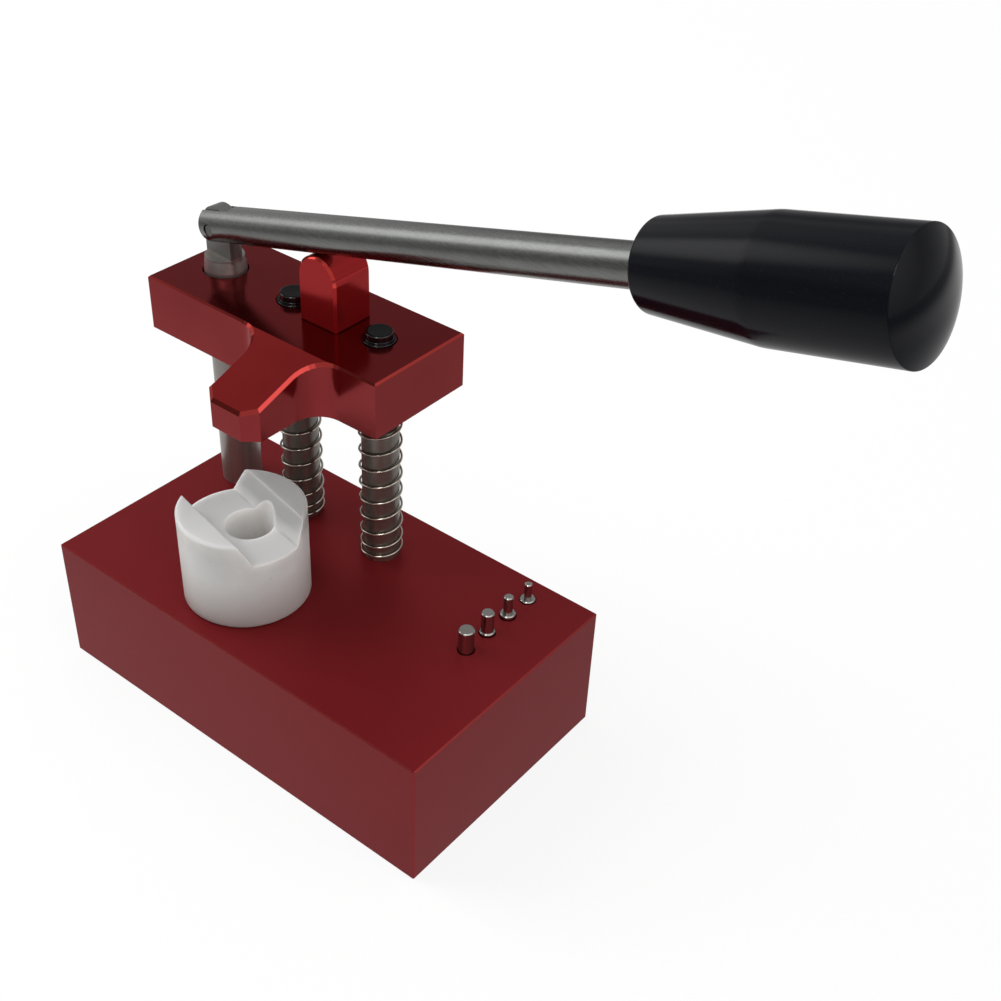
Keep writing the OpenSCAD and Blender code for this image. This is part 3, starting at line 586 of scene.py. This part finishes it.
# (centre, near and far distance, level at each): a painted pool of light, the floor dimmer far away, and a
# painted darker spot
FLOOR_PAINTED_LIGHT_POOL = ((0.25, 0.25, 0), 0.36, 0.80, 1.0, 0.28)
FLOOR_PAINTED_SHADE_SPOT = ((0.2, 0.15, 0), 0.14, 0.32, 0.62, 1.0)
FLOOR_GLOW = 0.85


def make_floor():
    """A pale floor that keeps shadows and is white to the camera; in reflections and bounced light it has a
    painted pool of light, dimmer far away and in one painted darker spot.
    """
    t = Tree("floor")
    paths = t.add("LightPath").outputs
    mirrored = t.math("MAXIMUM", paths["Is Glossy Ray"], paths["Is Transmission Ray"])
    seen = t.math("MAXIMUM", mirrored, paths["Is Camera Ray"])
    place = t.add("NewGeometry").outputs["Position"]
    pool, dip = (t.ramp(t.distance(place, spot[0]), *spot[1:]) for spot in (FLOOR_PAINTED_LIGHT_POOL, FLOOR_PAINTED_SHADE_SPOT))
    # painted light: the pool and the darker spot set the floor's level for all but camera rays
    level = t.math("MAXIMUM", t.math("MULTIPLY", pool, dip), paths["Is Camera Ray"])
    grain = t.noise(t.where(), 900, 2)
    paper = t.add("BsdfDiffuse")
    white = t.mix(t.ramp(grain, 0.3, 0.7), (0.86, 0.86, 0.86), (0.9, 0.9, 0.9))
    t.put(paper.inputs["Color"], t.mix(level, (0.2, 0.2, 0.2), white))
    glow = t.add("Emission")
    t.put(glow.inputs["Strength"], level)
    blend = t.add("MixShader")
    t.put(blend.inputs[0], t.math("MULTIPLY", seen, FLOOR_GLOW))
    t.links.new(paper.outputs[0], blend.inputs[1])
    t.links.new(glow.outputs[0], blend.inputs[2])
    t.links.new(blend.outputs[0], t.out.inputs["Surface"])
    bpy.ops.mesh.primitive_plane_add(size=FLOOR_SIZE, location=(0, 0, 0))
    floor = bpy.context.object
    floor.name = "floor"
    floor.data.materials.append(t.material)


# the room's brightness by the height of the direction looked in, from 0 to 1 for straight up
ROOM_LOW, ROOM_MIDDLE, ROOM_HIGH = (0.0, 0.78), (0.6, 0.62), (1.0, 0.95)
# soft spots on it: azimuth, elevation, inner and outer half angle in degrees, and strength
ROOM_SPOTS = (
    (-164, 28, 3, 21, 2.65), (-8, 42, 12, 50, 1.3), (-130, -5, 6, 26, -0.45), (168, 30, 6, 22, 0.3),
    (122, 8, 8, 24, -0.4), (-125, 52, 6, 18, -0.3),
)
MIRRORED_LAMP = (-78, 58, 4, 12, 18.0)


def towards(azimuth, elevation):
    a, e = math.radians(azimuth), math.radians(elevation)
    return (math.cos(e) * math.cos(a), math.cos(e) * math.sin(a), math.sin(e))


def make_world():
    """A soft room with windows and dim parts, a lamp in its reflections, and a white backdrop."""
    world = bpy.data.worlds.new("studio")
    bpy.context.scene.world = world
    world.use_nodes = True
    tree = world.node_tree
    tree.nodes.clear()

    def node(kind, **settings):
        made = tree.nodes.new("ShaderNode" + kind)
        for key, value in settings.items():
            setattr(made, key, value)
        return made

    def both(kind, a, b):
        made = node("Math", operation=kind)
        tree.links.new(a, made.inputs[0])
        tree.links.new(b, made.inputs[1])
        return made.outputs[0]

    coords = node("TexCoord").outputs["Generated"]
    paths = node("LightPath").outputs

    def spot(azimuth, elevation, inner, outer, strength):
        dot = node("VectorMath", operation="DOT_PRODUCT")
        tree.links.new(coords, dot.inputs[0])
        dot.inputs[1].default_value = towards(azimuth, elevation)
        fade = node("MapRange", interpolation_type="SMOOTHSTEP")
        tree.links.new(dot.outputs["Value"], fade.inputs["Value"])
        fade.inputs["From Min"].default_value = math.cos(math.radians(outer))
        fade.inputs["From Max"].default_value = math.cos(math.radians(inner))
        fade.inputs["To Max"].default_value = strength
        return fade.outputs["Result"]

    split = node("SeparateXYZ")
    tree.links.new(coords, split.inputs[0])
    rise = node("FloatCurve")
    curve = rise.mapping.curves[0]
    curve.points[0].location, curve.points[1].location = ROOM_LOW, ROOM_HIGH
    curve.points.new(*ROOM_MIDDLE)
    rise.mapping.update()
    tree.links.new(split.outputs["Z"], rise.inputs["Value"])
    total = rise.outputs[0]
    for numbers in ROOM_SPOTS:
        total = both("ADD", total, spot(*numbers))
    total = both("ADD", total, both("MULTIPLY", spot(*MIRRORED_LAMP), paths["Is Glossy Ray"]))
    background = node("Background")
    tree.links.new(both("MAXIMUM", total, paths["Is Camera Ray"]), background.inputs["Strength"])
    out = node("OutputWorld")
    tree.links.new(background.outputs[0], out.inputs["Surface"])


def soft_lamp(name, place, aim, size, watts):
    data = bpy.data.lights.new(name, "AREA")
    data.shape, data.size, data.size_y, data.energy = "RECTANGLE", size[0], size[1], watts
    lamp = bpy.data.objects.new(name, data)
    lamp.location = place
    lamp.rotation_euler = (Vector(aim) - Vector(place)).to_track_quat("-Z", "Y").to_euler()
    lamp.visible_glossy = False
    bpy.context.scene.collection.objects.link(lamp)


make_floor()
make_world()
soft_lamp("key", (-0.8, -0.3, 0.8), (0, 0, 0.05), (0.7, 0.7), 7)

bpy.context.scene.view_settings.view_transform = "Standard"
